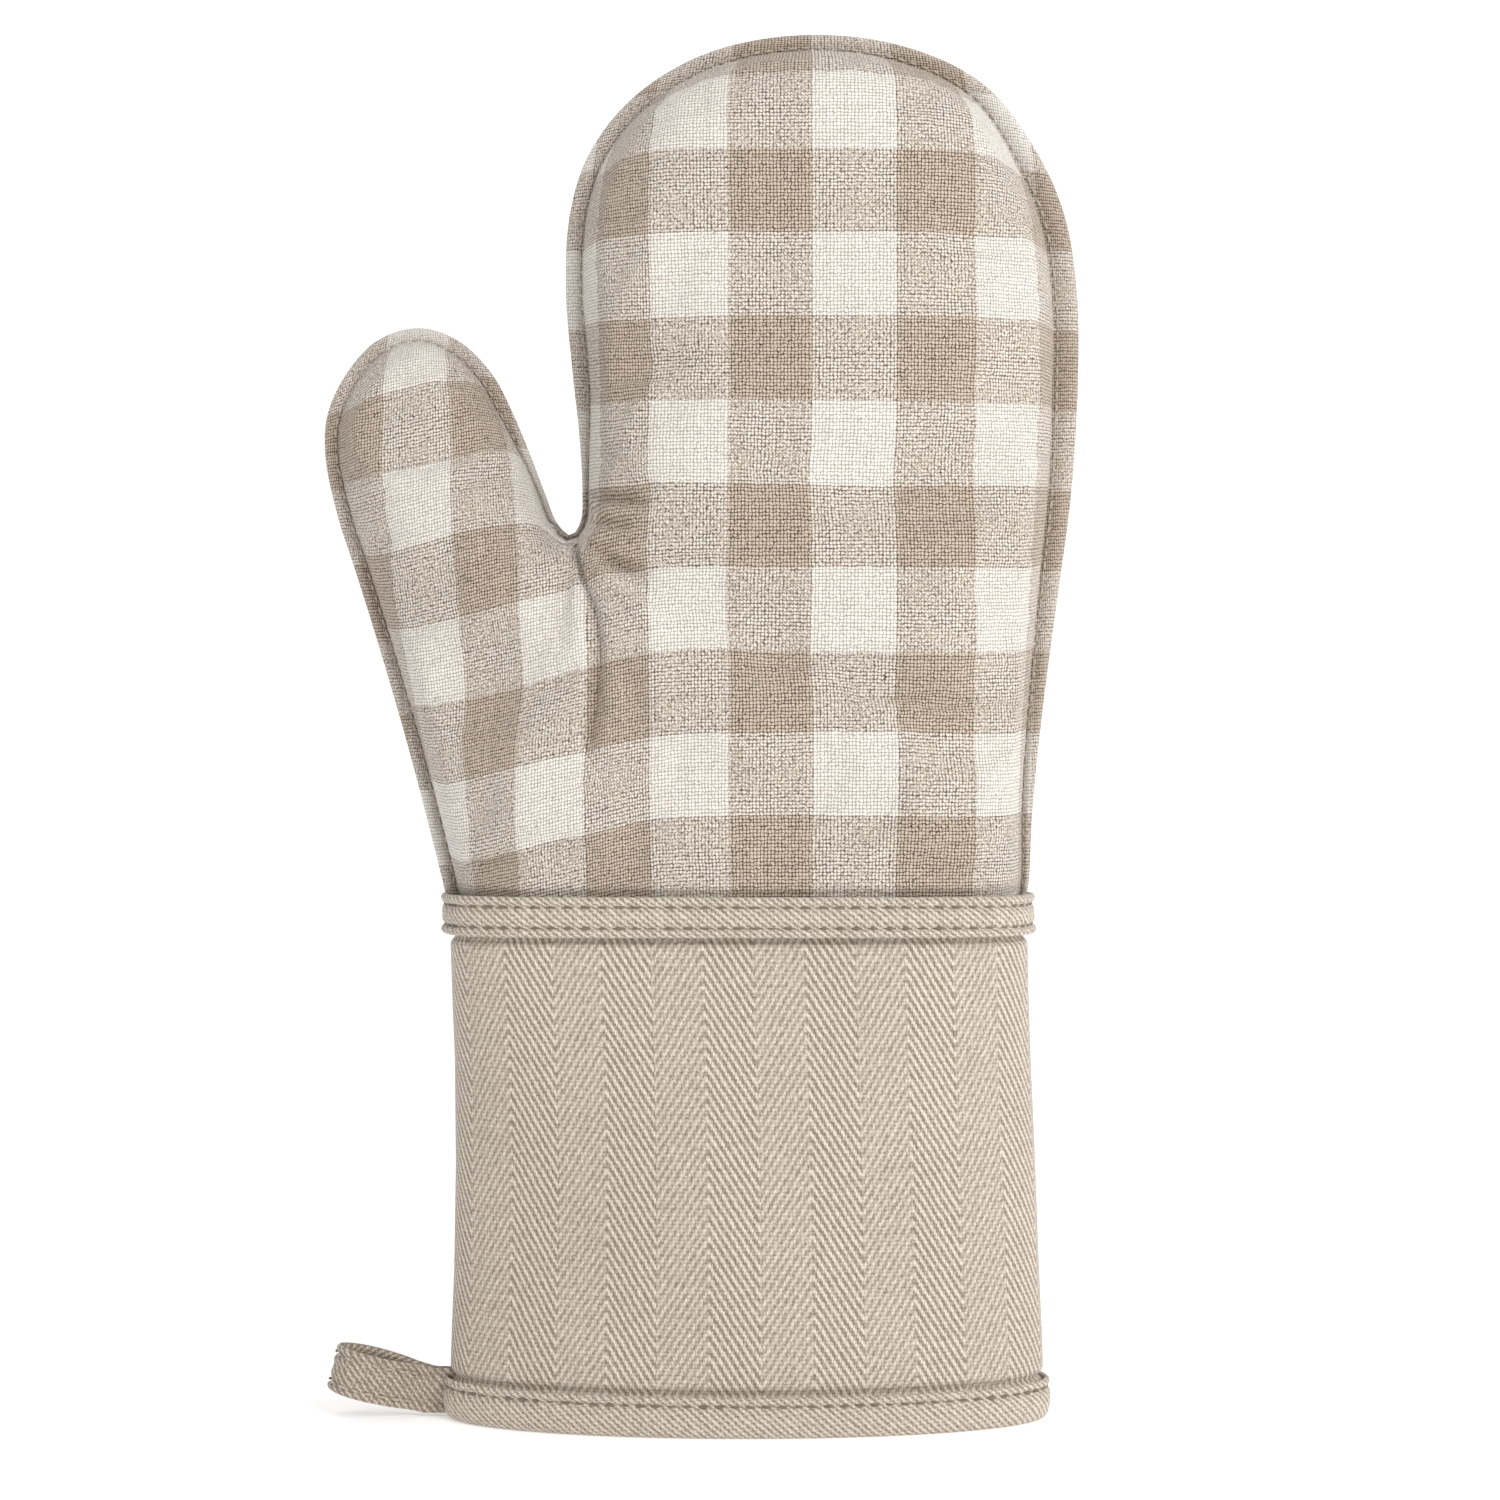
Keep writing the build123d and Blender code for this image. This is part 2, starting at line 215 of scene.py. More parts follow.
def value_noise(points, size, seed):
    """Smooth noise from -1 to 1 that changes over about that size, in any number of dimensions."""
    rng = np.random.default_rng(seed)
    total = np.zeros(len(points))
    for _ in range(7):
        direction = rng.normal(size=points.shape[1])
        direction *= 2 * pi / (size * rng.uniform(0.8, 1.9) * np.linalg.norm(direction))
        total += np.sin(points @ direction + rng.uniform(0, 2 * pi))
    return total / 3.2


def inside(points, ring):
    """Whether each point is inside a closed ring, by crossing count."""
    x, z = points[:, 0], points[:, 1]
    odd = np.zeros(len(points), bool)
    for (x0, z0), (x1, z1) in zip(ring, np.roll(ring, -1, axis=0)):
        if z0 == z1:
            continue
        crosses = ((z0 > z) != (z1 > z)) & (x < (x1 - x0) * (z - z0) / (z1 - z0) + x0)
        odd ^= crosses
    return odd


EDGE = spline_through(OUTLINE, EDGE_STEP)


def in_thumb(points):
    """Whether each point is above the thumb's cut line and on the thumb's side of the slot."""
    above = points[:, 1] - THUMB_CUT_Z
    return (above > 0) & (points[:, 0] < SLOT_X - 0.1 * above)


def evened(row, count):
    """A row of values after a weighted moving average over that odd number of places."""
    kernel = np.hanning(count) / np.hanning(count).sum()
    return np.convolve(np.pad(row, count // 2, mode="edge"), kernel, mode="valid")


def edge_widths():
    """The width of the rolled edge at each outline point: wide on the right, narrow on the thumb."""
    x, z = EDGE[:, 0], EDGE[:, 1]
    right = np.interp(z, (125, 165, 205, 240, 300, 322), (1.8, 3.6, 5.2, 6.2, 6.2, 4.3))
    width = np.where(x > 30, right, np.where(x < -46, 3.4, 4.1))
    from_slot = lengths(EDGE - [SLOT_X, 214.0])
    width = 1.5 + (width - 1.5) * smooth_step((from_slot - 9) / 26)
    return evened(width, 15)


EDGE_WIDTHS = edge_widths()
EDGE_INDEX = np.arange(len(EDGE))


def edge_normals():
    """The way outwards, square to the outline, at each outline point."""
    tangent = np.gradient(EDGE, axis=0)
    return unit(np.column_stack([-tangent[:, 1], tangent[:, 0]]))


EDGE_NORMALS = edge_normals()


def edge_frame(points):
    """For each point: distance from the outline, place along it, width of the roll and the way outwards."""
    distance, place = nearest_on_line(points, EDGE)
    width = np.interp(place, EDGE_INDEX, EDGE_WIDTHS)
    nearest, normal = (
        np.column_stack([np.interp(place, EDGE_INDEX, table[:, k]) for k in range(2)])
        for table in (EDGE, EDGE_NORMALS)
    )
    to_edge = (nearest - points) / np.maximum(distance, 1e-6)[:, None]
    outwards = np.where((distance < 0.05)[:, None], normal, to_edge)
    return distance, place, width, outwards


def between(table, i, j, fi, fj):
    """Values of a table a share of the way from row i and column j to the next ones."""
    return (
        table[i, j] * (1 - fi) * (1 - fj)
        + table[i + 1, j] * fi * (1 - fj)
        + table[i, j + 1] * (1 - fi) * fj
        + table[i + 1, j + 1] * fi * fj
    )


class Field:
    """Height of a sheet under even pressure over the outline, found once on a grid."""

    STEP = 1.5

    def __init__(self):
        low = EDGE.min(axis=0) - 3
        high = EDGE.max(axis=0) + 3
        self.low = np.array([low[0], HAND_FOOT_Z])
        shape = np.ceil((high - self.low) / self.STEP).astype(int) + 1
        gx, gz = np.meshgrid(np.arange(shape[0]), np.arange(shape[1]), indexing="ij")
        points = self.low + self.STEP * np.column_stack([gx.ravel(), gz.ravel()])
        distance, place = nearest_on_line(points, EDGE)
        width = np.interp(place, EDGE_INDEX, EDGE_WIDTHS)
        free = (inside(points, EDGE + [0, -1e-4]) & (distance > width)).reshape(shape)
        self.grid = self.solve(free)

    def solve(self, free):
        """Conjugate gradients for a sheet under even pressure, held at the seam and free at the wrist."""

        def laplacian(f):
            f = f * free
            up = np.pad(f, ((0, 0), (0, 1)))[:, 1:]
            down = np.concatenate([f[:, :1], f[:, :-1]], axis=1)
            left = np.pad(f, ((1, 0), (0, 0)))[:-1]
            right = np.pad(f, ((0, 1), (0, 0)))[1:]
            return (4 * f - up - down - left - right) * free

        rhs = free * self.STEP**2
        x = np.zeros(free.shape)
        r = rhs - laplacian(x)
        p = r.copy()
        rr = (r * r).sum()
        for _ in range(900):
            ap = laplacian(p)
            alpha = rr / (p * ap).sum()
            x += alpha * p
            r -= alpha * ap
            new = (r * r).sum()
            if new < 1e-10:
                break
            p = r + new / rr * p
            rr = new
        return x

    def value(self, points):
        at = (points - self.low) / self.STEP
        i = np.clip(at.astype(int), 0, np.array(self.grid.shape) - 2)
        f = at - i
        return between(self.grid, *i.T, *f.T)


FIELD = Field()


def pad_height(points, past, outwards):
    """Height of the padding. Near the edge the field is carried down to nothing from further in."""
    further = np.maximum(0, NEAR_EDGE - past)
    value = FIELD.value(points - outwards * further[:, None])
    carried = past / NEAR_EDGE * value + past * (NEAR_EDGE - past) / 2
    value = np.where(past < NEAR_EDGE, carried, value)
    return flat_height(np.sqrt(2 * np.maximum(value, 0)))


def flat_height(reach):
    """Height of the padding for a reach into it, with a rounded foot."""
    rounded = np.sqrt(reach**2 + SHOULDER**2) - SHOULDER
    return PAD_HEIGHT * (1 - np.exp(-rounded / PAD_SOFTNESS))


def wall_surplus():
    """The steep side's cloth beyond its plan length, by outline point and depth past the roll."""
    start = EDGE - EDGE_NORMALS * EDGE_WIDTHS[:, None]
    heights = np.array([
        pad_height(start - EDGE_NORMALS * depth, np.full(len(EDGE), depth), EDGE_NORMALS)
        for depth in WALL_DEPTHS
    ])
    run = np.diff(WALL_DEPTHS)[:, None]
    extra = np.sqrt(run**2 + np.diff(heights, axis=0) ** 2) - run
    surplus = np.vstack([np.cumsum(extra[::-1], axis=0)[::-1], np.zeros(len(EDGE))]).T
    return np.array([evened(row, 11) for row in surplus.T]).T


WALL_SURPLUS = wall_surplus()


def surface_height(points, side):
    """Height above the seam plane of the hand's outer cloth."""
    distance, place, width, outwards = edge_frame(points)
    past = np.maximum(0, distance - width)
    share = distance / width
    roll = EDGE_HEIGHT * np.sqrt(np.maximum(0, 1 - (2 * np.minimum(share, 1) - 1) ** 2))
    body = GROOVE_HEIGHT + pad_height(points, past, outwards)
    height = np.where(share < 0.5, roll, np.where(share < 1, np.maximum(roll, GROOVE_HEIGHT), body))
    pucker = np.sin(place * EDGE_STEP * 2 * pi / 7.5 + 2.2 * value_noise(place[:, None], 18, 3))
    height += (share > 1) * 0.5 * pucker * np.exp(-past / 5) * smooth_step(past / 2)
    swell = value_noise(points, 34, 5 if side == "front" else 6)
    height += (share > 1) * 0.7 * swell * smooth_step(past / 14)
    if side == "front":
        for path, depth, half_width in CREASES:
            line = spline_through(path, 2.0)
            off, along = nearest_on_line(points, line)
            ends = np.clip(np.minimum(along, len(line) - 1 - along) / 3 + 0.25, 0, 1)
            height -= depth * ends * np.exp(-((off / half_width) ** 2)) * smooth_step(past / 3)
    tuck = 0.94 + 0.06 * smooth_step((points[:, 1] - HAND_FOOT_Z) / 6)
    tuck -= 0.07 * np.exp(-(((points[:, 1] - BAND_TOP - 0.3) / 1.3) ** 2))
    return np.maximum(height * tuck, 0.0), distance, width


def hand_grid():
    """Points and triangles filling the outline, finer along the rolled edge, with the thumb's cut line."""
    rings = []
    for share in RING_SHARES:
        ring = EDGE - EDGE_NORMALS * (EDGE_WIDTHS * share)[:, None]
        distance, _ = nearest_on_line(ring, EDGE)
        keep = (distance > 0.96 * EDGE_WIDTHS * share) & (ring[:, 1] > HAND_FOOT_Z + 0.5)
        rings.append(ring[keep])
    low, high = EDGE.min(axis=0), EDGE.max(axis=0)
    rows = np.arange(low[1] + 1.2, high[1], CELL * 0.866)
    lattice = np.array([
        (x + (CELL / 2 if n % 2 else 0), z)
        for n, z in enumerate(rows)
        for x in np.arange(low[0], high[0], CELL)
    ])
    distance, place = nearest_on_line(lattice, EDGE)
    width = np.interp(place, EDGE_INDEX, EDGE_WIDTHS)
    lattice = lattice[inside(lattice, EDGE) & (distance > width * 1.7 + 1.2)]
    extra = crease_points()
    distance, _, width, _ = edge_frame(extra)
    extra = extra[inside(extra, EDGE) & (distance > width * 1.75 + 0.7)]
    gap = np.linalg.norm(lattice[:, None] - extra[None], axis=2).min(axis=1)
    lattice = np.vstack([lattice[gap > 1.2], extra])
    on_cut = EDGE[(np.abs(EDGE[:, 1] - THUMB_CUT_Z) < 2.5) & (EDGE[:, 0] < SLOT_X)]
    left, right = on_cut[:, 0].min() - 3, SLOT_X + 0.2
    cut = np.array([(x, THUMB_CUT_Z) for x in np.linspace(left, right, 34)])
    cut = cut[inside(cut, EDGE)]
    crossing_left = np.interp(THUMB_CUT_Z, EDGE[: len(EDGE) // 5, 1], EDGE[: len(EDGE) // 5, 0])
    slot = EDGE[(EDGE[:, 0] < SLOT_X) & (EDGE[:, 0] > -60) & (EDGE[:, 1] < 232)]
    order = np.argsort(slot[:, 1])
    crossing_right = np.interp(THUMB_CUT_Z, slot[order, 1], slot[order, 0])
    cut = cut[(cut[:, 0] > crossing_left + 0.7) & (cut[:, 0] < crossing_right - 0.7)]
    cut = np.vstack([[crossing_left, THUMB_CUT_Z], cut, [crossing_right, THUMB_CUT_Z]])
    near_cut = lambda pts: np.abs(pts[:, 1] - THUMB_CUT_Z) < 0.8
    beyond = lambda pts: pts[:, 0] < crossing_right + 0.5
    rings = [ring[~(near_cut(ring) & beyond(ring))] for ring in rings]
    lattice = lattice[~(near_cut(lattice) & beyond(lattice))]
    points = np.vstack([EDGE, cut] + rings + [lattice])
    n = len(EDGE)
    edges = [(i, (i + 1) % n) for i in range(n)] + [(n + i, n + i + 1) for i in range(len(cut) - 1)]
    made = delaunay_2d_cdt([Vector(p) for p in points.tolist()], edges, [], 1, 1e-5)
    xz = np.array([tuple(v) for v in made[0]])
    tris = np.array([face for face in made[2] if len(face) == 3])
    return xz, tris, in_thumb(xz[tris].mean(axis=1))


def crease_points():
    """Closer points along the creases and just above the wrist band, where the cloth turns sharply."""
    kept = []
    rows = [np.column_stack([np.arange(-68.0, 66.0, 2.2), np.full(61, BAND_TOP + rise)])
            for rise in (-0.8, 0.2, 1.1, 2.1, 3.4)]
    for path, _, half_width in CREASES:
        line = spline_through(path, 1.1)
        way = np.gradient(line, axis=0)
        across = unit(np.column_stack([way[:, 1], -way[:, 0]]))
        rows += [line + across * half_width * share for share in (0, -0.6, 0.6, -1.2, 1.2, -1.9, 1.9)]
    for row in rows:
        for point in row:
            if not kept or lengths(np.array(kept) - point).min() > 0.55:
                kept.append(point)
    return np.array(kept)


def vertex_normals(points, tris):
    a, b, c = points[tris[:, 0]], points[tris[:, 1]], points[tris[:, 2]]
    face = np.cross(b - a, c - a)
    normals = np.zeros_like(points)
    for k in range(3):
        np.add.at(normals, tris[:, k], face)
    return normals / np.maximum(lengths(normals), 1e-9)[:, None]


def add_object(name, data):
    obj = bpy.data.objects.new(name, data)
    bpy.context.scene.collection.objects.link(obj)
    return obj


def make_mesh(name, points, faces, uv=None, material=None, normals=None):
    """An object from points in millimetres. The cloth coordinates are given by point, or by face corner."""
    mesh = bpy.data.meshes.new(name)
    mesh.from_pydata((np.asarray(points) * MM).tolist(), [], [list(map(int, f)) for f in faces])
    mesh.update()
    mesh.polygons.foreach_set("use_smooth", [True] * len(mesh.polygons))
    if uv is not None:
        layer = mesh.uv_layers.new(name="cloth")
        loops = np.zeros(len(mesh.loops), int)
        mesh.loops.foreach_get("vertex_index", loops)
        uv = np.asarray(uv)
        by_corner = uv if len(uv) == len(loops) else uv[loops]
        layer.data.foreach_set("uv", (by_corner * MM).ravel())
    if normals is not None:
        mesh.normals_split_custom_set_from_vertices(normals.tolist())
    if material is not None:
        mesh.materials.append(material)
    return add_object(name, mesh)


def in_space(xz, y):
    """Points or ways in the seam plane, moved to the depths y."""
    return np.column_stack([xz[:, 0], y, xz[:, 1]])


def tube_faces(rings, m, closed=False, first=0):
    """Faces of a tube of rings of m points, with both ends capped unless the rings close on themselves."""
    faces = [
        (first + i * m + j, first + i * m + (j + 1) % m, first + k * m + (j + 1) % m, first + k * m + j)
        for i, k in ((i, (i + 1) % rings) for i in range(rings if closed else rings - 1))
        for j in range(m)
    ]
    if not closed:
        faces.append(tuple(first + j for j in range(m))[::-1])
        faces.append(tuple(first + (rings - 1) * m + j for j in range(m)))
    return faces


def closed_layer(outer, inner, tris):
    """Points and faces of a closed piece between two surfaces that share their triangles."""
    used, back = np.unique(tris, return_inverse=True)
    tris = back.reshape(tris.shape)
    n = len(used)
    points = np.vstack([outer[used], inner[used]])
    edges = np.vstack([tris[:, [0, 1]], tris[:, [1, 2]], tris[:, [2, 0]]])
    known = {tuple(e) for e in edges.tolist()}
    rim = [(a, b) for a, b in edges.tolist() if (b, a) not in known]
    faces = tris.tolist() + (tris[:, ::-1] + n).tolist() + [[b, a, a + n, b + n] for a, b in rim]
    return points, faces, used


def cloth_coordinates(xz):
    """Where each point of the hand lies in the gingham, in millimetres, laid flat from the front."""
    x, z = xz[:, 0], xz[:, 1]
    lean = 0.047 * (z - 205) * smooth_step((-50 - x) / 12)
    u = np.interp(x + lean, COLUMN_EDGES_X, COLUMN_EDGES_U)
    past = ROW_DROP_X - x
    drop = ROW_DROP * 0.5 * (past + np.sqrt(past * past + 70))
    on_fingers = smooth_step((z - 203) / 18) * (x > SLOT_X - 0.1 * np.maximum(z - THUMB_CUT_Z, 0))
    return np.column_stack([u, (z - ROW_ZERO_Z + drop * (1 - on_fingers)) * CHECK / ROW])


def pad_and_roll_coordinates(xz):
    """The cloth coordinates with the cloth of the steep side counted, and those of the roll on its own."""
    flat = cloth_coordinates(xz)
    distance, place, width, outwards = edge_frame(xz)
    depth = np.interp(np.maximum(distance - width, 0), WALL_DEPTHS, np.arange(len(WALL_DEPTHS)))
    i = np.clip(place.astype(int), 0, len(EDGE) - 2)
    j = np.clip(depth.astype(int), 0, len(WALL_DEPTHS) - 2)
    surplus = between(WALL_SURPLUS, i, j, place - i, depth - j)
    over_roll = pi * np.sqrt((width**2 / 4 + EDGE_HEIGHT**2) / 2) - width
    on_roll = np.clip(1 - distance / width, 0, 1) * over_roll
    return flat + outwards * surplus[:, None], flat + outwards * on_roll[:, None]


CLOTH_FRAMES = 20
CLOTH_SETTINGS = {
    "quality": 6, "mass": 0.25, "tension_stiffness": 12, "compression_stiffness": 12, "shear_stiffness": 6,
    "bending_stiffness": 0.35, "use_pressure": True, "uniform_pressure_force": 3.0, "shrink_min": -0.035,
    "shrink_max": -0.035,
}


def relaxed(points, tris, held):
    """The surface after a short cloth simulation under pressure, with the held points fixed."""
    obj = make_mesh("relaxing", points, tris)
    group = obj.vertex_groups.new(name="held")
    for weight in np.unique(held.round(2)):
        if weight > 0:
            group.add(np.flatnonzero(held.round(2) == weight).tolist(), float(weight), "REPLACE")
    cloth = obj.modifiers.new("cloth", "CLOTH")
    settings = cloth.settings
    for name, value in CLOTH_SETTINGS.items():
        setattr(settings, name, value)
    settings.vertex_group_mass = "held"
    settings.effector_weights.gravity = 0
    cloth.point_cache.frame_start = 1
    cloth.point_cache.frame_end = CLOTH_FRAMES
    scene = bpy.context.scene
    for number in range(1, CLOTH_FRAMES + 1):
        scene.frame_set(number)
    evaluated = obj.evaluated_get(bpy.context.evaluated_depsgraph_get())
    moved = np.zeros(len(points) * 3)
    evaluated.data.vertices.foreach_get("co", moved)
    moved = moved.reshape(-1, 3) / MM
    scene.frame_set(1)
    bpy.data.objects.remove(obj, do_unlink=True)
    shift = moved - points
    shift[:, [0, 2]] *= (1 - held)[:, None]
    length = lengths(shift)
    print("cloth moved at most", round(float(length.max()), 2), "mm, mean", round(float(length.mean()), 2))
    return points + shift * (np.minimum(length, MOST_MOVED) / np.maximum(length, 1e-9))[:, None]


# ---------------------------------------------------------------- materials


def set_constants(node, constants):
    for name, value in constants.items():
        node.inputs[name].default_value = value


class Graph:
    """Short ways to write a material's node graph."""

    def __init__(self, name):
        self.material = bpy.data.materials.new(name)
        self.material.use_nodes = True
        self.tree = self.material.node_tree
        self.shader = self.tree.nodes["Principled BSDF"]

    def node(self, kind, **values):
        made = self.tree.nodes.new(kind)
        for key, value in values.items():
            setattr(made, key, value)
        return made

    def link(self, source, socket):
        if isinstance(source, (int, float)):
            socket.default_value = source
        else:
            self.tree.links.new(source, socket)

    def math(self, operation, *inputs):
        made = self.node("ShaderNodeMath", operation=operation)
        for socket, value in zip(made.inputs, inputs):
            self.link(value, socket)
        return made.outputs[0]

    def add(self, first, second):
        return self.math("ADD", first, second)

    def minus(self, first, second):
        return self.math("SUBTRACT", first, second)

    def times(self, first, second):
        return self.math("MULTIPLY", first, second)

    def over(self, first, second):
        return self.math("DIVIDE", first, second)

    def weighted(self, total, *parts):
        """The total plus each value times its weight."""
        for value, weight in parts:
            total = self.add(total, self.times(value, weight))
        return total

    def stripe(self, value, width):
        """0 and 1 in turn, each for that width."""
        return self.math("FLOORED_MODULO", self.math("FLOOR", self.over(value, width)), 2.0)

    def cloth(self):
        """The two cloth coordinates, in millimetres."""
        uv = self.node("ShaderNodeUVMap", uv_map="cloth")
        parts = self.node("ShaderNodeSeparateXYZ")
        self.link(uv.outputs[0], parts.inputs[0])
        return [self.times(parts.outputs[k], 1000.0) for k in range(2)]

    def vector(self, x, y, z=0.0):
        made = self.node("ShaderNodeCombineXYZ")
        for socket, value in zip(made.inputs, (x, y, z)):
            self.link(value, socket)
        return made.outputs[0]

    def texture(self, kind, vector, constants, **values):
        """A texture's outputs, at that place and with those constants."""
        made = self.node(kind, **values)
        self.link(vector, made.inputs["Vector"])
        set_constants(made, constants)
        return made.outputs

    def noise(self, vector, scale, detail=2.0):
        """Noise between about 0 and 1."""
        return self.texture("ShaderNodeTexNoise", vector, {"Scale": scale, "Detail": detail})["Fac"]

    def grains(self, vector, scale):
        """Distance from the middle of the nearest grain, in units of about one grain."""
        constants = {"Scale": scale, "Randomness": 0.55}
        return self.texture("ShaderNodeTexVoronoi", vector, constants, voronoi_dimensions="2D")["Distance"]

    def random(self, x, y=0.0):
        """A fixed random number for each pair of whole numbers."""
        place = self.vector(x, y)
        return self.texture("ShaderNodeTexWhiteNoise", place, {}, noise_dimensions="2D")["Value"]

    def mix(self, share, first, second):
        made = self.node("ShaderNodeMix", data_type="RGBA")
        self.link(share, made.inputs["Factor"])
        for value, socket in ((first, made.inputs[6]), (second, made.inputs[7])):
            if isinstance(value, tuple):
                socket.default_value = (*value, 1.0)
            else:
                self.tree.links.new(value, socket)
        return made.outputs[2]

    def shade(self, colour, factor):
        """A colour times a number."""
        made = self.node("ShaderNodeVectorMath", operation="SCALE")
        self.link(colour, made.inputs[0])
        self.link(factor, made.inputs["Scale"])
        return made.outputs[0]

    def finish(self, colour, height, roughness, depth_mm):
        """The finished material: its colour, roughness, and a relief that deep in millimetres."""
        self.link(colour, self.shader.inputs["Base Color"])
        self.link(roughness, self.shader.inputs["Roughness"])
        bump = self.node("ShaderNodeBump")
        set_constants(bump, {"Strength": 1.0, "Distance": depth_mm * MM})
        self.link(height, bump.inputs["Height"])
        self.link(bump.outputs[0], self.shader.inputs["Normal"])
        set_constants(self.shader, {"Sheen Weight": 0.25, "Sheen Roughness": 0.5, "Specular IOR Level": 0.2})
        return self.material


def srgb(red, green, blue):
    """A linear colour from an sRGB one in 0 to 255."""
    return tuple(((c / 255 + 0.055) / 1.055) ** 2.4 for c in (red, green, blue))


WHITE_YARN = srgb(250, 245, 238)
# The gap colours are painted shade: the darker look of the gaps between the yarns.
WHITE_GAP_SHADE = srgb(176, 165, 152)
BEIGE_YARN = srgb(215, 197, 178)
BEIGE_GAP_SHADE = srgb(72, 56, 42)
LIGHT_TWILL = srgb(229, 218, 204)
DARK_TWILL = srgb(137, 121, 104)
THREAD_COLOUR = srgb(226, 215, 199)
# The tape stitches' thread is the same thread painted darker: painted shade for their sunken rows in the
# tapes.
SHADED_TAPE_THREAD_COLOUR = srgb(152, 136, 118)
LINING_YARN = srgb(236, 230, 219)
BATTING_FIBRE = srgb(240, 238, 230)
YARN = 0.40
TWILL_YARN = 0.45


def plain_weave(g, u, v, yarn):
    """Yarn numbers, which yarn lies on top, and the height of the weave, for a plain weave."""
    wobble_u = g.minus(g.noise(g.vector(u, v), 0.35), 0.5)
    wobble_v = g.minus(g.noise(g.vector(v, u, 4.0), 0.35), 0.5)
    a = g.over(g.weighted(u, (wobble_u, 0.5)), yarn)
    b = g.over(g.weighted(v, (wobble_v, 0.5)), yarn)
    column, row = g.math("FLOOR", a), g.math("FLOOR", b)
    on_top = g.math("FLOORED_MODULO", g.add(column, row), 2.0)
    across = g.math("ABSOLUTE", g.math("SINE", g.times(a, pi)))
    along = g.math("ABSOLUTE", g.math("SINE", g.times(b, pi)))
    height = g.math("POWER", g.times(across, along), 0.6)
    return column, row, on_top, height


def weave_lattice(g, u, v, yarn):
    """The wider grid of raised yarn crossings, two yarns apart, thrown a little off line."""
    sway = g.times(g.minus(g.noise(g.vector(u, v, 6.0), 1.1), 0.5), 1.1)
    across = g.math("SINE", g.times(g.add(g.over(u, 2 * yarn), sway), pi))
    along = g.math("SINE", g.times(g.minus(g.over(v, 2 * yarn), sway), pi))
    return g.math("POWER", g.math("ABSOLUTE", g.times(across, along)), 0.5)


def gingham_material():
    """Plain weave with white and beige yarns in both directions, so the checks come from the yarns. The gaps
    and the low places between raised yarns are painted darker, as shade.
    """
    g = Graph("gingham_cloth")
    u, v = g.cloth()
    column, row, weft_on_top, height = plain_weave(g, u, v, YARN)
    beige_column, beige_row = g.stripe(u, CHECK), g.stripe(v, CHECK)
    beige = g.add(g.times(weft_on_top, g.minus(beige_row, beige_column)), beige_column)
    lattice = weave_lattice(g, u, v, YARN)
    slub = g.noise(g.vector(u, v, 9.0), 0.9, 3.0)
    uneven = g.add(g.random(column), g.random(row, 7.0))
    speck = g.random(g.math("FLOOR", g.over(column, 2.0)), g.math("FLOOR", g.over(row, 2.0)))
    # open_share is partly painted shade and partly the yarns' own colour changes: low places between raised
    # crossings (lattice, height) go towards the painted gap shade, while slub, uneven and speck vary the
    # yarns' own colour.
    open_share = g.weighted(
        -0.88, (lattice, 1.58), (height, 0.25), (slub, 0.35), (uneven, 0.12), (speck, 0.20)
    )
    mixed = g.math("ABSOLUTE", g.minus(beige_row, beige_column))
    from_grain = g.grains(g.vector(u, v), 1.18)
    grain_beige = g.minus(g.times(from_grain, 3.0), 0.55)
    grain_beige = g.minus(g.times(grain_beige, 0.62), g.times(beige, 0.62))
    beige = g.add(beige, g.times(mixed, grain_beige))
    # Painted shade between the grains of the mixed checks.
    grain_gap_shade = g.times(mixed, g.minus(0.34, from_grain))
    open_share = g.weighted(open_share, (grain_gap_shade, 0.25))
    yarn_colour = g.mix(beige, WHITE_YARN, BEIGE_YARN)
    gap_shade_colour = g.mix(beige, WHITE_GAP_SHADE, BEIGE_GAP_SHADE)
    # The yarn colour over the painted shade of the gaps.
    colour = g.mix(open_share, gap_shade_colour, yarn_colour)
    fade = g.weighted(0.95, (g.noise(g.vector(u, v, 2.0), 0.03), 0.1))
    relief = g.add(g.times(lattice, 0.6), g.times(height, 0.4))
    relief = g.weighted(relief, (speck, 0.25))
    roughness = g.weighted(0.78, (slub, 0.16))
    return g.finish(g.shade(colour, fade), relief, roughness, 0.26)


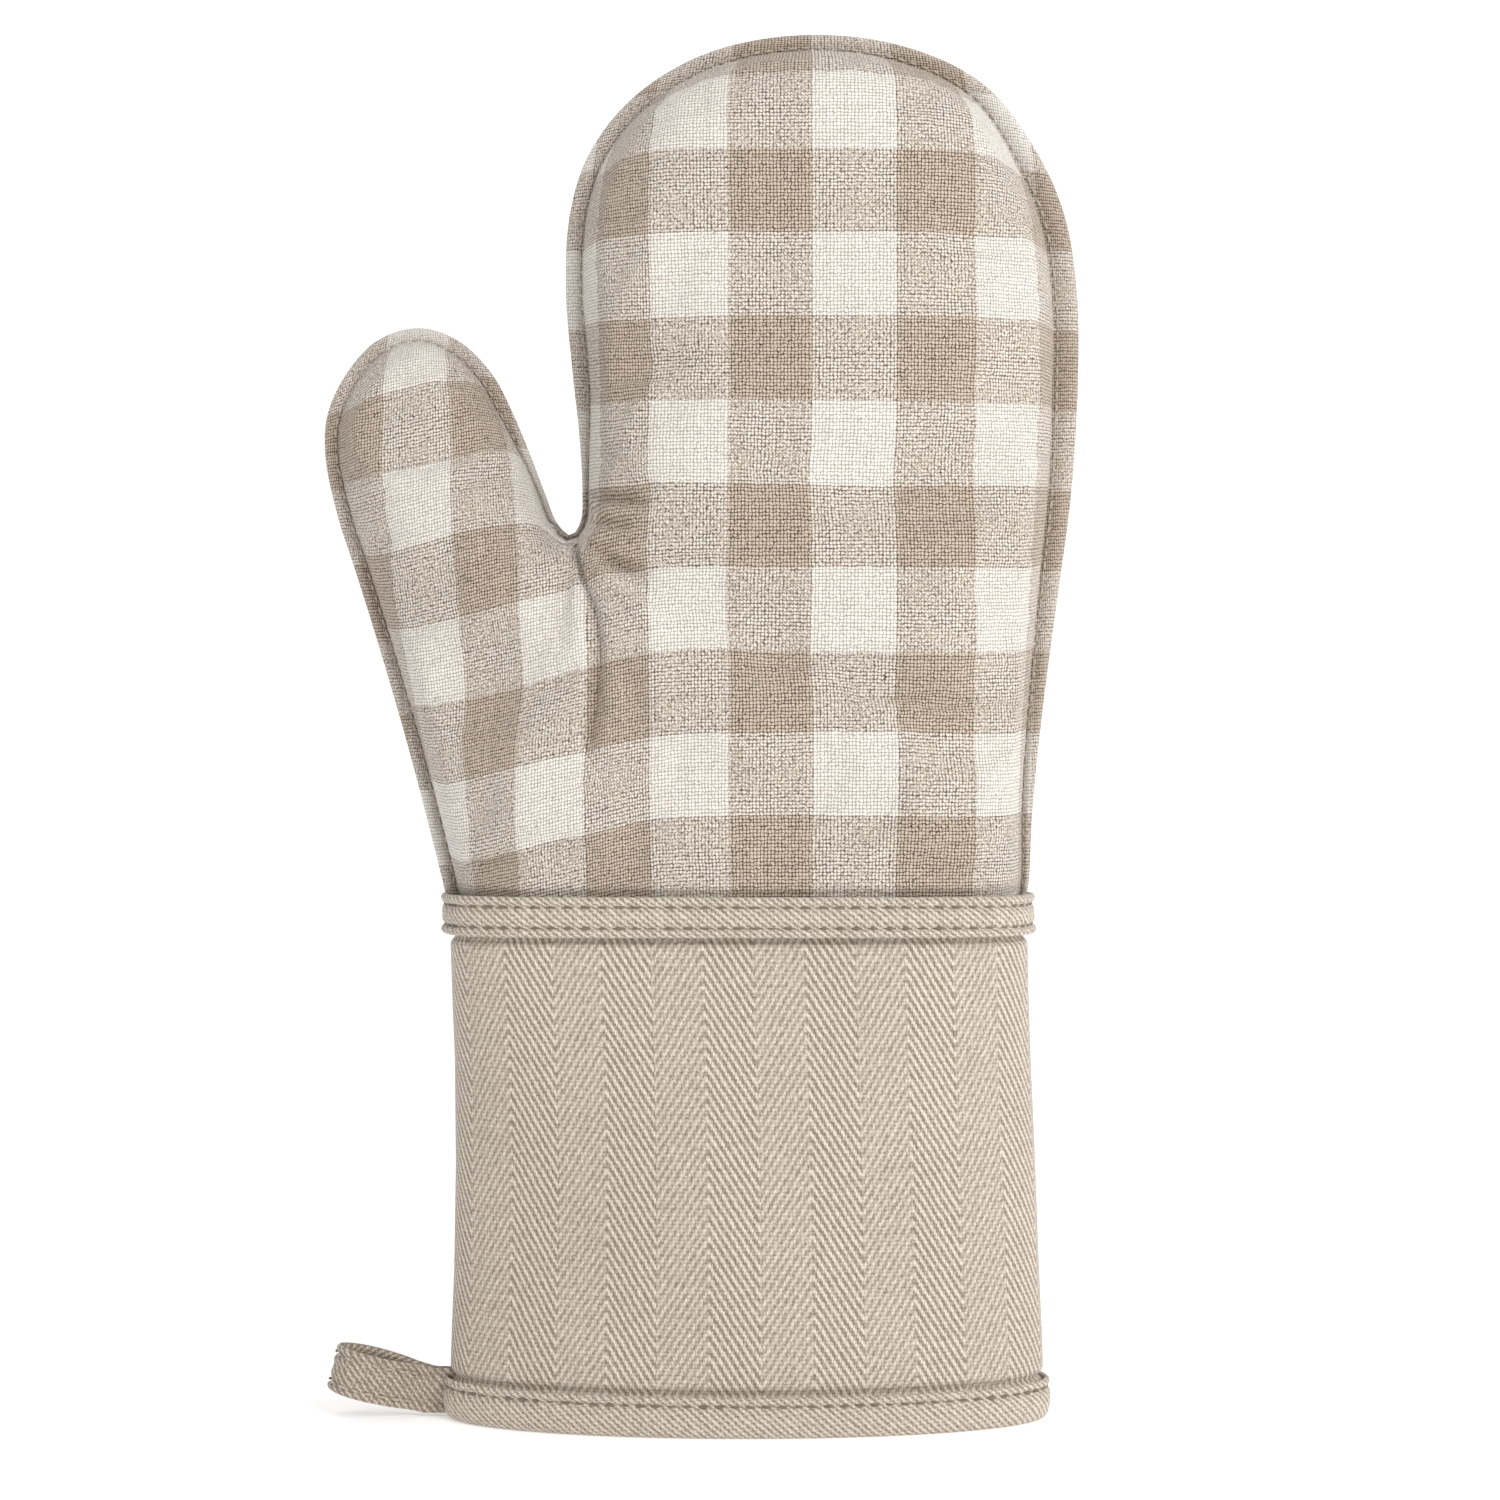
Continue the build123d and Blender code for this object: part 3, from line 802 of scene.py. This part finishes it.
def herringbone_material(name, half_period, pitch, slope, peak, contrast, tone_and_shade=0.0):
    """Twill lines that turn over every half period. One way they are clear, the other way broken up. Raised
    crossings are painted lighter and low places darker, as shade of the weave's relief; the last argument
    shifts the whole colour, for the loop as painted shade.
    """
    g = Graph(name)
    u, v = g.cloth()
    wobble = g.times(g.minus(g.noise(g.vector(u, v), 0.25), 0.5), 0.9)
    stepped = g.times(g.math("FLOOR", g.over(u, TWILL_YARN)), TWILL_YARN)
    turn = g.math("FLOORED_MODULO", g.minus(stepped, peak), 2 * half_period)
    from_peak = g.minus(half_period, g.math("ABSOLUTE", g.minus(turn, half_period)))
    line = g.add(g.add(v, wobble), g.times(from_peak, slope))
    line = g.over(line, pitch)
    ridge = g.weighted(0.5, (g.math("SINE", g.times(line, 2 * pi)), 0.5))
    ridge = g.math("POWER", ridge, 1.5)
    broken = g.math("GREATER_THAN", turn, half_period)
    strength = g.minus(1.0, g.times(broken, 0.45))
    column, row, _, knuckle = plain_weave(g, u, v, TWILL_YARN)
    lattice = weave_lattice(g, u, v, TWILL_YARN)
    slub = g.noise(g.vector(u, v, 5.0), 0.8, 3.0)
    uneven = g.random(column, row)
    clear = g.times(ridge, strength)
    # Raised crossings (lattice, knuckle) lighten the colour and low places darken it: painted shade of the
    # weave's relief, on top of the twill lines and the yarns' own colour changes.
    share = g.weighted(
        tone_and_shade - 0.31 - 0.95 * contrast,
        (clear, 2 * contrast), (lattice, 0.42), (broken, 0.42 * contrast),
        (slub, 0.62), (uneven, 0.30), (knuckle, 0.12),
    )
    colour = g.mix(share, DARK_TWILL, LIGHT_TWILL)
    fade = g.weighted(0.93, (g.noise(g.vector(u, v, 2.0), 0.03), 0.12))
    height = g.add(g.times(clear, 0.6), g.times(lattice, 0.4))
    return g.finish(g.shade(colour, fade), height, 0.86, 0.28)


def plain_material(name, yarn_colour, yarn):
    """A plain weave in one colour, with painted shade darkening the low places between raised yarns."""
    g = Graph(name)
    u, v = g.cloth()
    column, row, _, height = plain_weave(g, u, v, yarn)
    slub = g.noise(g.vector(u, v, 3.0), 0.7, 3.0)
    # Lower between raised yarns: painted shade. The slub is the yarn's own colour change.
    factor = g.weighted(0.72, (height, 0.16), (slub, 0.12))
    colour = g.mix(g.random(column, row), yarn_colour, tuple(0.93 * c for c in yarn_colour))
    return g.finish(g.shade(colour, factor), height, 0.88, 0.12)


def fibre_material(name, colour, size):
    """Loose or twisted fibre: streaky noise in colour and height."""
    g = Graph(name)
    u, v = g.cloth()
    strands = g.noise(g.vector(u, g.times(v, 3.0)), size, 5.0)
    mottled = g.mix(strands, tuple(0.72 * c for c in colour), colour)
    return g.finish(mottled, strands, 0.92, 0.25)


GINGHAM = gingham_material()
TWILL = herringbone_material("cuff_herringbone", 11.9, 3.05, 1.66, -8.8, 0.42)
TAPE = herringbone_material("tape_herringbone", 300.0, 1.7, 0.9, -40.0, 0.36, 0.06)
# The loop's tape is the same herringbone painted darker: painted shade, as the loop hangs in shade.
SHADED_LOOP_TAPE = herringbone_material("shaded_loop_herringbone", 300.0, 1.7, 0.9, -40.0, 0.32, -0.16)
LINING = plain_material("lining_cotton", LINING_YARN, 0.5)
BATTING = fibre_material("batting_fibre", BATTING_FIBRE, 0.8)
THREAD = fibre_material("sewing_thread", THREAD_COLOUR, 4.0)
# Darker copy of the sewing thread: painted shade for the tape stitches.
SHADED_TAPE_THREAD = fibre_material("shaded_tape_thread", SHADED_TAPE_THREAD_COLOUR, 4.0)
LAYER_MATERIAL = {"cloth": GINGHAM, "batting": BATTING, "lining": LINING}


# ---------------------------------------------------------------- hand and thumb


STRETCHES = {"hand": ("palm", "fingers"), "thumb": ("thumb",)}


def bend_piece(obj):
    """Bakes a finished piece's placement into its mesh."""
    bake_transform(obj)


def hand_surfaces():
    """The outer cloth's surface on both sides after the cloth simulation, the thumb's faces and the grid."""
    xz, tris, is_thumb = hand_grid()
    sides = []
    for side, sign in (("front", -1), ("back", 1)):
        height, distance, width = surface_height(xz, side)
        sides.append((in_space(xz, sign * (height + LEAST_HEIGHT)), distance, width))
    n = len(xz)
    flip = tris[:, ::-1]
    first, second, third = sides[0][0][tris[0]]
    front_tris, back_tris = (tris, flip) if np.cross(second - first, third - first)[1] < 0 else (flip, tris)
    both, distance, width = (np.concatenate(pair) for pair in zip(*sides))
    held = 1 - smooth_step((distance - width - 0.3) / 6)
    held = np.maximum(held, 1 - smooth_step((both[:, 2] - BAND_TOP - 1) / 10))
    moved = relaxed(both, np.vstack([front_tris, back_tris + n]), held)
    return {
        "front": (moved[:n], front_tris, distance[:n], width[:n]),
        "back": (moved[n:], back_tris, distance[n:], width[n:]),
    }, is_thumb, xz


def layer_surface(points, normals, depth, side):
    """The surface that far below the outer cloth, never past the seam plane."""
    if depth == 0:
        return points
    sign = -1 if side == "front" else 1
    steep = np.clip(1 / np.maximum(np.abs(normals[:, 1]), 0.35), 1, 2.6)
    height = np.maximum(np.abs(points[:, 1]) - depth * steep, LEAST_HEIGHT)
    made = points.copy()
    made[:, 1] = sign * np.minimum(height, np.abs(points[:, 1]))
    return made


def build_hand():
    surfaces, is_thumb, grid = hand_surfaces()
    for side, (points, tris, distance, width) in surfaces.items():
        normals = vertex_normals(points, tris)
        pad_uv, roll_uv = pad_and_roll_coordinates(grid)
        if side == "back":
            pad_uv[:, 0] += CHECK
            roll_uv[:, 0] += CHECK
        on_roll = distance[tris].mean(axis=1) < width[tris].mean(axis=1)
        for layer, (outer_depth, inner_depth) in HAND_LAYERS.items():
            outer = layer_surface(points, normals, outer_depth, side)
            inner = layer_surface(points, normals, inner_depth, side)
            thick = np.abs(outer[:, 1]) - np.abs(inner[:, 1]) > 0.05
            clear = {"cloth": 0.0, "batting": 0.6, "lining": 4.0}[layer]
            wanted = (thick & (distance > width + clear)) if layer != "cloth" else distance > -1
            keep = wanted[tris].all(axis=1)
            for part in ("hand", "thumb"):
                chosen = keep & (is_thumb if part == "thumb" else ~is_thumb)
                mesh_points, faces, used = closed_layer(outer, inner, tris[chosen])
                rim = [distance[used[face[0] % len(used)]] < 1 for face in faces[2 * chosen.sum():]]
                rolled = np.concatenate([on_roll[chosen], on_roll[chosen], rim])
                charts = np.vstack([pad_uv[used]] * 2), np.vstack([roll_uv[used]] * 2)
                uv = np.vstack([charts[int(flag)][list(face)] for face, flag in zip(faces, rolled)])
                both_normals = np.vstack([normals[used], -normals[used]])
                name = f"{part}_{side}_{PIECE_LAYER[layer]}"
                obj = make_mesh(name, mesh_points, faces, uv, LAYER_MATERIAL[layer], both_normals)
                bend_piece(obj)
                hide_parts(*(f"{stretch}_{side}_{CAD_LAYER[layer]}" for stretch in STRETCHES[part]))


# ---------------------------------------------------------------- cuff, tapes and loop


def on_cuff(obj, node):
    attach(obj, "cuff")
    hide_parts(node)


def cuff_ring(angle, z, outwards=0.0):
    """Points on the cuff at these angles and heights, that far outside its outer cloth."""
    z, outwards = np.broadcast_to(z, angle.shape), np.broadcast_to(outwards, angle.shape)
    left, right = np.interp(z, CUFF_Z, CUFF_LEFT), np.interp(z, CUFF_Z, CUFF_RIGHT)
    centre, half = (left + right) / 2, (right - left) / 2
    rise = np.abs(np.sin(angle))
    oval = CUFF_DEPTH_LOW * rise
    padded = (GROOVE_HEIGHT + flat_height(half * rise)) * np.minimum(1, rise * 12)
    depth = oval + (padded * 0.97 - oval) * smooth_step((z - 70) / 48)
    x = centre + half * np.cos(angle)
    y = np.sign(np.sin(angle)) * depth
    ripple = value_noise(np.column_stack([x, y * 2, z * 0.6]), 42, 11) * 0.6
    ripple = ripple * smooth_step((z - 8) / 20) * smooth_step((118 - z) / 20) * rise
    pinch = np.exp(-(((z - BAND_BOTTOM + 0.5) / 1.1) ** 2)) + np.exp(-(((z - HEM_TOP - 0.5) / 1.1) ** 2))
    ripple = ripple - 1.3 * pinch * (outwards <= 0)
    across = unit(np.column_stack([np.cos(angle) / half, np.sin(angle) / CUFF_DEPTH_LOW]))
    reach = (outwards + ripple)[:, None] * across
    return np.column_stack([x + reach[:, 0], y + reach[:, 1], z])


def round_length(angles, z):
    """Distance round the cuff from the middle of the front to each angle."""
    ring = cuff_ring(angles, z)
    along = distance_along(ring)
    return along - np.interp(0.0, ring[: len(ring) // 2 + 1, 0], along[: len(ring) // 2 + 1])


def build_cuff():
    for side, start in CUFF_HALVES:
        angles = np.linspace(start + 0.002, start + pi - 0.002, CUFF_STEPS_ROUND + 1)
        closer = [edge + step for edge in (HEM_TOP, BAND_BOTTOM) for step in np.linspace(-3.2, 3.2, 17)]
        even = np.linspace(CUFF_FOOT_Z, CUFF_TOP_Z, CUFF_STEPS_UP + 1)
        heights = np.unique(np.round(np.concatenate([even, closer]), 2))
        heights = heights[(heights >= CUFF_FOOT_Z) & (heights <= CUFF_TOP_Z)]
        length = round_length(angles, 60.0)
        a, z = (grid.ravel() for grid in np.meshgrid(angles, heights))
        u = np.tile(length, len(heights))
        w = len(angles)
        quads = np.array([
            (r * w + c, r * w + c + 1, (r + 1) * w + c + 1, (r + 1) * w + c)
            for r in range(len(heights) - 1) for c in range(w - 1)
        ])
        tris = np.vstack([quads[:, [0, 1, 2]], quads[:, [0, 2, 3]]])
        for layer, (outer_depth, inner_depth) in CUFF_LAYERS.items():
            outer = cuff_ring(a, z, -outer_depth)
            inner = cuff_ring(a, z, -inner_depth)
            points, faces, used = closed_layer(outer, inner, tris)
            uv = np.column_stack([u, z])[used]
            material = TWILL if layer == "cloth" else LAYER_MATERIAL[layer]
            name = f"cuff_{side}_{PIECE_LAYER[layer]}"
            obj = make_mesh(name, points, faces, np.vstack([uv, uv]), material)
            on_cuff(obj, f"cuff_{side}_{CAD_LAYER[layer]}")


def ring_sweep(name, profile, angles, closed, turn, material, rows, pitch):
    """A tape round the cuff, puckered at its stitch rows. The profile is a closed list of (out, height)."""
    profile = np.array(profile, float)
    along_profile = distance_along(profile)
    n, m = len(angles), len(profile)
    a = np.repeat(angles, m)
    ring = cuff_ring(angles, profile[:, 1].mean())
    length = distance_along(ring)
    near_row = np.exp(-(((profile[:, 1:] - np.array(rows)) / 1.5) ** 2)).sum(axis=1) * (profile[:, 0] > 0.3)
    wave = 0.2 * np.cos(2 * pi * length / pitch + 2.5 * value_noise(length[:, None], 25, 21))
    wave += 0.16 * value_noise(length[:, None], 9, 22)
    outwards = np.tile(profile[:, 0], n) + np.repeat(wave, m) * np.tile(near_row, n)
    points = cuff_ring(a, np.tile(profile[:, 1], n), outwards)
    u, v = np.repeat(length, m), np.tile(along_profile, n)
    uv = np.column_stack([u * cos(turn) - v * sin(turn), u * sin(turn) + v * cos(turn)])
    return make_mesh(name, points, tube_faces(n, m, closed), uv, material)


def hem_profile():
    top = HEM_TOP
    outside = [
        (0.15, top - 0.3), (0.75, top + 0.15), (1.35, top - 0.3), (1.5, top - 1.1), (1.1, top - 1.6),
        (0.6, top - 2.0), (1.1, top - 2.5), (1.55, top - 3.2), (1.8, top - 4.8), (1.7, 3.0),
        (1.3, 1.3), (0.7, 0.45), (0.1, 0.1),
    ]
    underneath = [(-0.8, 0.0), (-3.0, 0.0)]
    inside_face = [(-4.0, 0.3), (-4.7, 1.2), (-4.95, 3.0), (-4.9, top - 3), (-4.8, top - 0.8), (-4.3, top)]
    channel = [(-3.85, top - 0.4), (-3.8, 1.6), (-3.4, 1.2), (-0.4, 1.2), (0.1, 1.6)]
    return outside + underneath + inside_face + channel


def band_profile():
    low, high = BAND_BOTTOM, BAND_TOP
    outside = [
        (0.7, low), (1.6, low + 0.15), (2.1, low + 0.8), (1.8, low + 1.6), (0.8, low + 2.2),
        (1.45, low + 2.8), (1.8, low + 3.6), (1.85, (low + high) / 2), (1.8, high - 3.8),
        (1.45, high - 3.0), (0.8, high - 2.4), (1.7, high - 1.8), (2.1, high - 1.0),
        (1.7, high - 0.15), (0.7, high),
    ]
    return outside + [(0.15, high - 0.3), (0.15, low + 0.3)]


def build_tapes():
    angles = np.linspace(-pi, pi, 721)[:-1]
    hem = ring_sweep(
        "hem_binding_tape", hem_profile(), angles, True, radians(-84), TAPE, [HEM_ROW_Z], HEM_PITCH
    )
    on_cuff(hem, "hem_binding")
    for side, start in CUFF_HALVES:
        half = np.linspace(start + 0.001, start + pi - 0.001, 361)
        name = f"wrist_band_{side}_tape"
        band = ring_sweep(name, band_profile(), half, False, 0.0, TAPE, BAND_ROWS_Z, BAND_PITCH)
        on_cuff(band, f"wrist_band_{side}")


def loop_to_frame(points):
    """From the loop's own axes, tilted up outwards, to the frame."""
    x, y, z = points.T
    return np.column_stack([
        LOOP_ORIGIN[0] + x * cos(LOOP_TILT) + z * sin(LOOP_TILT),
        LOOP_ORIGIN[1] + y,
        LOOP_ORIGIN[2] - x * sin(LOOP_TILT) + z * cos(LOOP_TILT),
    ])


def build_loop():
    """The folded tape, from the side seam round and back, and its two rows of stitches."""
    route = spline_through(LOOP_ROUTE, LOOP_STEP)
    tangent = unit(np.gradient(route, axis=0))
    normal = np.column_stack([-tangent[:, 1], tangent[:, 0]])
    t, w = LOOP_THICKNESS / 2, LOOP_WIDTH
    rows = (0.5, 1.1, 1.6, 2.1, 2.6, 3.2, 4.2, 5.2, 6.2, 7.2, 7.8, 8.4, 8.9, 9.4, 9.9, 10.5)
    proud = (1.0, 1.2, 1.0, 0.45, 0.8, 1.0, 0.9, 1.05, 0.9, 1.0, 1.0, 0.8, 0.45, 1.0, 1.2, 1.0)
    side_up = [(t * out, up) for up, out in zip(rows, proud)]
    side_down = [(-out, up) for out, up in side_up[::-1]]
    section = [(0.5 * t, 0.0), *side_up, (0.5 * t, w), (-0.5 * t, w), *side_down, (-0.5 * t, 0.0)]
    length = np.arange(len(route)) * LOOP_STEP
    points, uv = [], []
    for place, side_way, along in zip(route, normal, length):
        for off, up in section:
            level = max(0.0, place[0]) * sin(LOOP_TILT)
            spot = np.array([[along / 7, up / 1.1 + (0 if off > 0 else 5)]])
            crumple = 0.3 * float(value_noise(spot, 2.2, 31)[0])
            off += crumple * smooth_step(min(up, w - up) / 1.5) * (1 if off > 0 else -1)
            points.append((*(place + side_way * off), up + level))
            uv.append((along, up + (12 if off < 0 else 0)))
    faces = tube_faces(len(route), len(section))
    # The loop's darker tape material is painted shade.
    tape = make_mesh("hanging_tape", loop_to_frame(np.array(points)), faces, uv, SHADED_LOOP_TAPE)
    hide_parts("hanging_loop")
    spots, ways, outs = [], [], []
    for i in range(12, len(route) - 12, 4):
        for sign in (-1, 1):
            for up in (2.1, w - 2.1):
                spots.append((*(route[i] + sign * normal[i] * (1.15 * t)), up))
                ways.append((*tangent[i], 0))
                outs.append((*(sign * normal[i]), 0))
    spots, ways, outs = (loop_to_frame(np.array(rows, float)) for rows in (spots, ways, outs))
    origin = loop_to_frame(np.zeros((1, 3)))
    stitches = make_stitches("loop_stitches", spots, ways - origin, outs - origin, 2.3, 0.34, THREAD)
    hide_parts("loop_stitching")
    for obj in (tape, stitches):
        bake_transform(obj)


# ---------------------------------------------------------------- stitches


def make_stitches(name, spots, ways, outs, length, radius, material):
    """One mesh of separate stitches: rounded threads that arch a little off the cloth."""
    spots, ways, outs = (np.asarray(rows, float) for rows in (spots, ways, outs))
    ways = unit(ways)
    outs = unit(outs - (outs * ways).sum(axis=1)[:, None] * ways)
    sides = np.cross(ways, outs)
    shares = np.linspace(-1, 1, 7)
    corners = np.linspace(0, 2 * pi, 7)[:-1]
    points, faces, uv = [], [], []
    for spot, way, out, across in zip(spots, ways, outs, sides):
        scale = RANDOM.uniform(0.9, 1.08)
        skew = RANDOM.uniform(-0.12, 0.12)
        faces += tube_faces(len(shares), len(corners), first=len(points))
        for share in shares:
            thick = radius * scale * (1 - 0.93 * abs(share) ** 3.0)
            middle = spot + (way + across * skew) * (share * length * scale / 2) - out * (0.3 * share**2)
            for corner in corners:
                points.append(middle + thick * (cos(corner) * out + sin(corner) * across))
                uv.append((corner * 0.3 + share, share * length))
    obj = make_mesh(name, np.array(points), faces, uv, material)
    return obj


def build_edge_stitches():
    """The topstitching in the groove inside the rolled edge, on both faces."""
    groove = EDGE - EDGE_NORMALS * (EDGE_WIDTHS * EDGE_ROW_SHARE)[:, None]
    distance, _ = nearest_on_line(groove, EDGE)
    groove = groove[(distance > 0.78 * EDGE_WIDTHS) & (groove[:, 1] > BAND_TOP + 1.5)]
    path = spline_through(groove, EDGE_PITCH)
    way = np.gradient(path, axis=0)
    jump = lengths(way) < 4
    path, way = path[jump], way[jump]
    on_thumb = in_thumb(path)
    for part, mine in (("hand", ~on_thumb), ("thumb", on_thumb)):
        spots, ways, outs = [], [], []
        for sign in (-1, 1):
            spots.append(in_space(path[mine], np.full(mine.sum(), sign * EDGE_ROW_HEIGHT)))
            ways.append(in_space(way[mine], np.zeros(mine.sum())))
            outs.append(np.tile([0.0, sign, 0.0], (mine.sum(), 1)))
        stacked = [np.vstack(rows) for rows in (spots, ways, outs)]
        obj = make_stitches(f"{part}_edge_stitches", *stacked, 2.2, 0.32, THREAD)
        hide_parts(*(f"{stretch}_edge_stitching" for stretch in STRETCHES[part]))
        bend_piece(obj)


def build_ring_stitches(name, z, outwards, pitch, node):
    angles = np.linspace(-pi, pi, 2001)
    ring = cuff_ring(angles, z, outwards)
    along = distance_along(ring)
    count = int(along[-1] / pitch)
    at = np.interp(np.arange(count) * along[-1] / count, along, angles)
    spots = cuff_ring(at, z, outwards)
    outs = cuff_ring(at, z, outwards + 1) - spots
    ways = cuff_ring(at + 0.01, z, outwards) - spots
    # The tape stitches take the darker thread material: painted shade.
    obj = make_stitches(name, spots, ways, outs, pitch * 0.72, 0.42, SHADED_TAPE_THREAD)
    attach(obj, "cuff")
    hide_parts(node)


# ---------------------------------------------------------------- studio


# Light, place and width in metres, power in watts
LIGHTS = (
    ("key_light", (0.9, -1.3, 1.0), 0.9, 17.6),
    ("fill_light", (-1.2, -1.2, 0.6), 1.2, 6),
    ("top_light", (0.0, 0.2, 1.7), 1.6, 7),
    ("side_light", (1.5, -0.25, 0.4), 0.8, 6),
)
LIGHTS_AIM = (0.0, 0.0, 0.17)
CAMERA_PLACE = (0.0005, -0.797, 0.159)
FLOOR_REACH = 14.0


def soft_light(name, place, width, power):
    data = bpy.data.lights.new(name, "AREA")
    data.shape = "RECTANGLE"
    data.size = data.size_y = width
    data.energy = power
    lamp = add_object(name, data)
    lamp.location = place
    lamp.rotation_euler = (Vector(LIGHTS_AIM) - Vector(place)).to_track_quat("-Z", "Y").to_euler()


def build_studio():
    """A pale floor that curves up into a backdrop, soft light from the right front, and the camera."""
    bend = [(1.2 + 0.8 * sin(a), 0.8 - 0.8 * cos(a)) for a in np.linspace(0, pi / 2, 14)]
    section = [(-FLOOR_REACH, 0.0), (0.0, 0.0)] + bend + [(2.0, 3.5)]
    points = [(x / MM, y / MM, z / MM) for y, z in section for x in (-FLOOR_REACH, FLOOR_REACH)]
    faces = [(2 * i, 2 * i + 1, 2 * i + 3, 2 * i + 2) for i in range(len(section) - 1)]
    paper = Graph("studio_paper")
    white = (1, 1, 1, 1)
    set_constants(paper.shader, {"Base Color": (0.93, 0.93, 0.93, 1), "Roughness": 0.9})
    set_constants(paper.shader, {"Emission Color": white, "Emission Strength": 0.3})
    backdrop = make_mesh("studio_backdrop", points, faces, None, paper.material)
    for light in LIGHTS:
        soft_light(*light)
    bpy.context.scene.view_settings.view_transform = "Standard"
    world = bpy.context.scene.world or bpy.data.worlds.new("studio")
    bpy.context.scene.world = world
    world.use_nodes = True
    set_constants(world.node_tree.nodes["Background"], {"Color": white, "Strength": 0.35})
    data = bpy.data.cameras.new("camera")
    data.lens = 80
    data.sensor_width = 36
    camera = add_object("camera", data)
    camera.location = CAMERA_PLACE
    camera.rotation_euler = (radians(90), 0, 0)
    bpy.context.scene.camera = camera


build_studio()
build_hand()
build_cuff()
build_tapes()
build_loop()
build_edge_stitches()
for row, row_z in zip(("band_upper", "band_lower"), BAND_ROWS_Z):
    build_ring_stitches(f"{row}_stitches", row_z, 1.05, BAND_PITCH, f"{row}_stitching")
build_ring_stitches("hem_stitches", HEM_ROW_Z, 0.9, HEM_PITCH, "hem_stitching")
